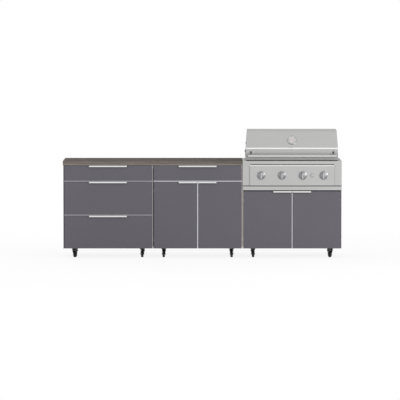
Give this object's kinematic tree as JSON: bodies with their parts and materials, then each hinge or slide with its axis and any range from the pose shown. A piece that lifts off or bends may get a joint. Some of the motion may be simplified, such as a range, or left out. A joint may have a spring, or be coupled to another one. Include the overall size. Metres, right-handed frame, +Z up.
{
  "type": "outdoor kitchen island",
  "caption": "Outdoor kitchen run on casters: drawer cabinet, drawer and door cabinet under one worktop, and a gas grill module with a hinged lid over doors.",
  "frame": {"origin": "on the floor, at the middle of the overall length and depth", "axes": "+X along the run from the drawers to the grill, +Y from the fronts to the back, +Z up"},
  "size_m": [2.559, 0.677, 1.172],
  "materials": {
    "worktop": "weathered grey-brown wood-look board, matt",
    "cabinet_paint": "slate grey powder coat, satin",
    "front_paint": "slate grey powder coat, satin",
    "frame_aluminium": "anodised, satin",
    "zinc_steel": "zinc plated",
    "pull_aluminium": "anodised, brushed",
    "box_steel": "stainless sheet",
    "caster_black": "black",
    "wheel_black": "black polyurethane tread",
    "grill_steel": "brushed along its length",
    "hood_steel": "brushed along its length",
    "handle_steel": "polished tube",
    "knob_steel": "satin metal",
    "button_steel": "satin metal",
    "gauge_steel": "polished bezel",
    "burner_steel": "stainless, heat tinted",
    "brass_fittings": "plain brass",
    "cast_grate": "matt enamel"
  },
  "bodies": {
    "island": {"worktop": "worktop", "side_panels": "cabinet_paint", "back_panels": "cabinet_paint", "floor_panels": "cabinet_paint", "front_frames": "frame_aluminium", "cabinet_hardware": "zinc_steel", "caster_mounts": "caster_black", "surround": "grill_steel", "control_panel": "grill_steel", "gas_manifold": "brass_fittings", "burners": "burner_steel", "firebox": "grill_steel", "cooking_grates": "cast_grate"},
    "drawer_left_top": {"drawer_front_left_top": "front_paint", "drawer_pull_left_top": "pull_aluminium", "drawer_box_left_top": "box_steel"},
    "drawer_left_middle": {"drawer_front_left_middle": "front_paint", "drawer_pull_left_middle": "pull_aluminium", "drawer_box_left_middle": "box_steel"},
    "drawer_left_bottom": {"drawer_front_left_bottom": "front_paint", "drawer_pull_left_bottom": "pull_aluminium", "drawer_box_left_bottom": "box_steel"},
    "drawer_centre_top": {"drawer_front_centre_top": "front_paint", "drawer_pull_centre_top": "pull_aluminium", "drawer_box_centre_top": "box_steel"},
    "door_centre_left": {"door_centre_left": "front_paint", "door_pull_centre_left": "pull_aluminium"},
    "door_centre_right": {"door_centre_right": "front_paint", "door_pull_centre_right": "pull_aluminium"},
    "door_grill_left": {"door_grill_left": "front_paint", "door_pull_grill_left": "pull_aluminium"},
    "door_grill_right": {"door_grill_right": "front_paint", "door_pull_grill_right": "pull_aluminium"},
    "swivel_1": {"swivel_fork_1": "caster_black"},
    "front_wheel_1": {"front_wheel_1": "wheel_black"},
    "rear_wheel_1": {"rear_wheel_1": "wheel_black"},
    "swivel_2": {"swivel_fork_2": "caster_black"},
    "front_wheel_2": {"front_wheel_2": "wheel_black"},
    "rear_wheel_2": {"rear_wheel_2": "wheel_black"},
    "swivel_3": {"swivel_fork_3": "caster_black"},
    "front_wheel_3": {"front_wheel_3": "wheel_black"},
    "rear_wheel_3": {"rear_wheel_3": "wheel_black"},
    "swivel_4": {"swivel_fork_4": "caster_black"},
    "front_wheel_4": {"front_wheel_4": "wheel_black"},
    "rear_wheel_4": {"rear_wheel_4": "wheel_black"},
    "swivel_5": {"swivel_fork_5": "caster_black"},
    "front_wheel_5": {"front_wheel_5": "wheel_black"},
    "rear_wheel_5": {"rear_wheel_5": "wheel_black"},
    "swivel_6": {"swivel_fork_6": "caster_black"},
    "front_wheel_6": {"front_wheel_6": "wheel_black"},
    "rear_wheel_6": {"rear_wheel_6": "wheel_black"},
    "drip_tray": {"drip_tray": "grill_steel"},
    "knob_1": {"knob_1": "knob_steel"},
    "knob_2": {"knob_2": "knob_steel"},
    "knob_3": {"knob_3": "knob_steel"},
    "knob_4": {"knob_4": "knob_steel"},
    "light_button": {"light_button": "button_steel"},
    "lid": {"lid": "hood_steel", "lid_handle": "handle_steel", "thermometer": "gauge_steel"}
  },
  "joints": [
    {"name": "drawer_left_top_slide", "type": "slide", "parent": "island", "child": "drawer_left_top", "axis": [0, -1, 0], "range_m": [0, 0.4]},
    {"name": "drawer_left_middle_slide", "type": "slide", "parent": "island", "child": "drawer_left_middle", "axis": [0, -1, 0], "range_m": [0, 0.4]},
    {"name": "drawer_left_bottom_slide", "type": "slide", "parent": "island", "child": "drawer_left_bottom", "axis": [0, -1, 0], "range_m": [0, 0.4]},
    {"name": "drawer_centre_top_slide", "type": "slide", "parent": "island", "child": "drawer_centre_top", "axis": [0, -1, 0], "range_m": [0, 0.4]},
    {"name": "door_centre_left_hinge", "type": "hinge", "parent": "island", "child": "door_centre_left", "pos_m": [-0.4325, -0.2655, 0.168], "axis": [0, 0, -1], "range_deg": [0, 90]},
    {"name": "door_centre_right_hinge", "type": "hinge", "parent": "island", "child": "door_centre_right", "pos_m": [0.3485, -0.2655, 0.168], "axis": [0, 0, 1], "range_deg": [0, 90]},
    {"name": "door_grill_left_hinge", "type": "hinge", "parent": "island", "child": "door_grill_left", "pos_m": [0.3905, -0.2655, 0.168], "axis": [0, 0, -1], "range_deg": [0, 90]},
    {"name": "door_grill_right_hinge", "type": "hinge", "parent": "island", "child": "door_grill_right", "pos_m": [1.2605, -0.2655, 0.168], "axis": [0, 0, 1], "range_deg": [0, 90]},
    {"name": "swivel_1_turn", "type": "hinge", "parent": "island", "child": "swivel_1", "pos_m": [-1.1775, -0.2015, 0.075], "axis": [0, 0, 1], "continuous": true},
    {"name": "front_wheel_1_spin", "type": "hinge", "parent": "swivel_1", "child": "front_wheel_1", "pos_m": [-1.17077, -0.17639, 0.0315], "axis": [0.9659, -0.2588, 0], "continuous": true},
    {"name": "rear_wheel_1_spin", "type": "hinge", "parent": "island", "child": "rear_wheel_1", "pos_m": [-1.1775, 0.2585, 0.0315], "axis": [1, 0, 0], "continuous": true},
    {"name": "swivel_2_turn", "type": "hinge", "parent": "island", "child": "swivel_2", "pos_m": [-0.5525, -0.2015, 0.075], "axis": [0, 0, 1], "continuous": true},
    {"name": "front_wheel_2_spin", "type": "hinge", "parent": "swivel_2", "child": "front_wheel_2", "pos_m": [-0.5525, -0.1755, 0.0315], "axis": [1, 0, 0], "continuous": true},
    {"name": "rear_wheel_2_spin", "type": "hinge", "parent": "island", "child": "rear_wheel_2", "pos_m": [-0.5525, 0.2585, 0.0315], "axis": [1, 0, 0], "continuous": true},
    {"name": "swivel_3_turn", "type": "hinge", "parent": "island", "child": "swivel_3", "pos_m": [-0.3545, -0.2015, 0.075], "axis": [0, 0, 1], "continuous": true},
    {"name": "front_wheel_3_spin", "type": "hinge", "parent": "swivel_3", "child": "front_wheel_3", "pos_m": [-0.3545, -0.1755, 0.0315], "axis": [1, 0, 0], "continuous": true},
    {"name": "rear_wheel_3_spin", "type": "hinge", "parent": "island", "child": "rear_wheel_3", "pos_m": [-0.3545, 0.2585, 0.0315], "axis": [1, 0, 0], "continuous": true},
    {"name": "swivel_4_turn", "type": "hinge", "parent": "island", "child": "swivel_4", "pos_m": [0.2705, -0.2015, 0.075], "axis": [0, 0, 1], "continuous": true},
    {"name": "front_wheel_4_spin", "type": "hinge", "parent": "swivel_4", "child": "front_wheel_4", "pos_m": [0.2705, -0.1755, 0.0315], "axis": [1, 0, 0], "continuous": true},
    {"name": "rear_wheel_4_spin", "type": "hinge", "parent": "island", "child": "rear_wheel_4", "pos_m": [0.2705, 0.2585, 0.0315], "axis": [1, 0, 0], "continuous": true},
    {"name": "swivel_5_turn", "type": "hinge", "parent": "island", "child": "swivel_5", "pos_m": [0.4685, -0.2015, 0.075], "axis": [0, 0, 1], "continuous": true},
    {"name": "front_wheel_5_spin", "type": "hinge", "parent": "swivel_5", "child": "front_wheel_5", "pos_m": [0.4685, -0.1755, 0.0315], "axis": [1, 0, 0], "continuous": true},
    {"name": "rear_wheel_5_spin", "type": "hinge", "parent": "island", "child": "rear_wheel_5", "pos_m": [0.4685, 0.2585, 0.0315], "axis": [1, 0, 0], "continuous": true},
    {"name": "swivel_6_turn", "type": "hinge", "parent": "island", "child": "swivel_6", "pos_m": [1.1825, -0.2015, 0.075], "axis": [0, 0, 1], "continuous": true},
    {"name": "front_wheel_6_spin", "type": "hinge", "parent": "swivel_6", "child": "front_wheel_6", "pos_m": [1.17577, -0.17639, 0.0315], "axis": [0.9659, 0.2588, 0], "continuous": true},
    {"name": "rear_wheel_6_spin", "type": "hinge", "parent": "island", "child": "rear_wheel_6", "pos_m": [1.1825, 0.2585, 0.0315], "axis": [1, 0, 0], "continuous": true},
    {"name": "drip_tray_slide", "type": "slide", "parent": "island", "child": "drip_tray", "axis": [0, -1, 0], "range_m": [0, 0.38]},
    {"name": "knob_1_turn", "type": "hinge", "parent": "island", "child": "knob_1", "pos_m": [0.53945, -0.3005, 0.76], "axis": [0, -1, 0], "range_deg": [0, 240]},
    {"name": "knob_2_turn", "type": "hinge", "parent": "island", "child": "knob_2", "pos_m": [0.73015, -0.3005, 0.76], "axis": [0, -1, 0], "range_deg": [0, 240]},
    {"name": "knob_3_turn", "type": "hinge", "parent": "island", "child": "knob_3", "pos_m": [0.92085, -0.3005, 0.76], "axis": [0, -1, 0], "range_deg": [0, 240]},
    {"name": "knob_4_turn", "type": "hinge", "parent": "island", "child": "knob_4", "pos_m": [1.11155, -0.3005, 0.76], "axis": [0, -1, 0], "range_deg": [0, 240]},
    {"name": "light_button_press", "type": "slide", "parent": "island", "child": "light_button", "axis": [0, 1, 0], "range_m": [0, 0.003], "stiffness_N_per_m": 400, "springref_m": -0.002},
    {"name": "lid_hinge", "type": "hinge", "parent": "island", "child": "lid", "pos_m": [0.8255, 0.2285, 0.962], "axis": [-1, 0, 0], "range_deg": [0, 90]}
  ]
}
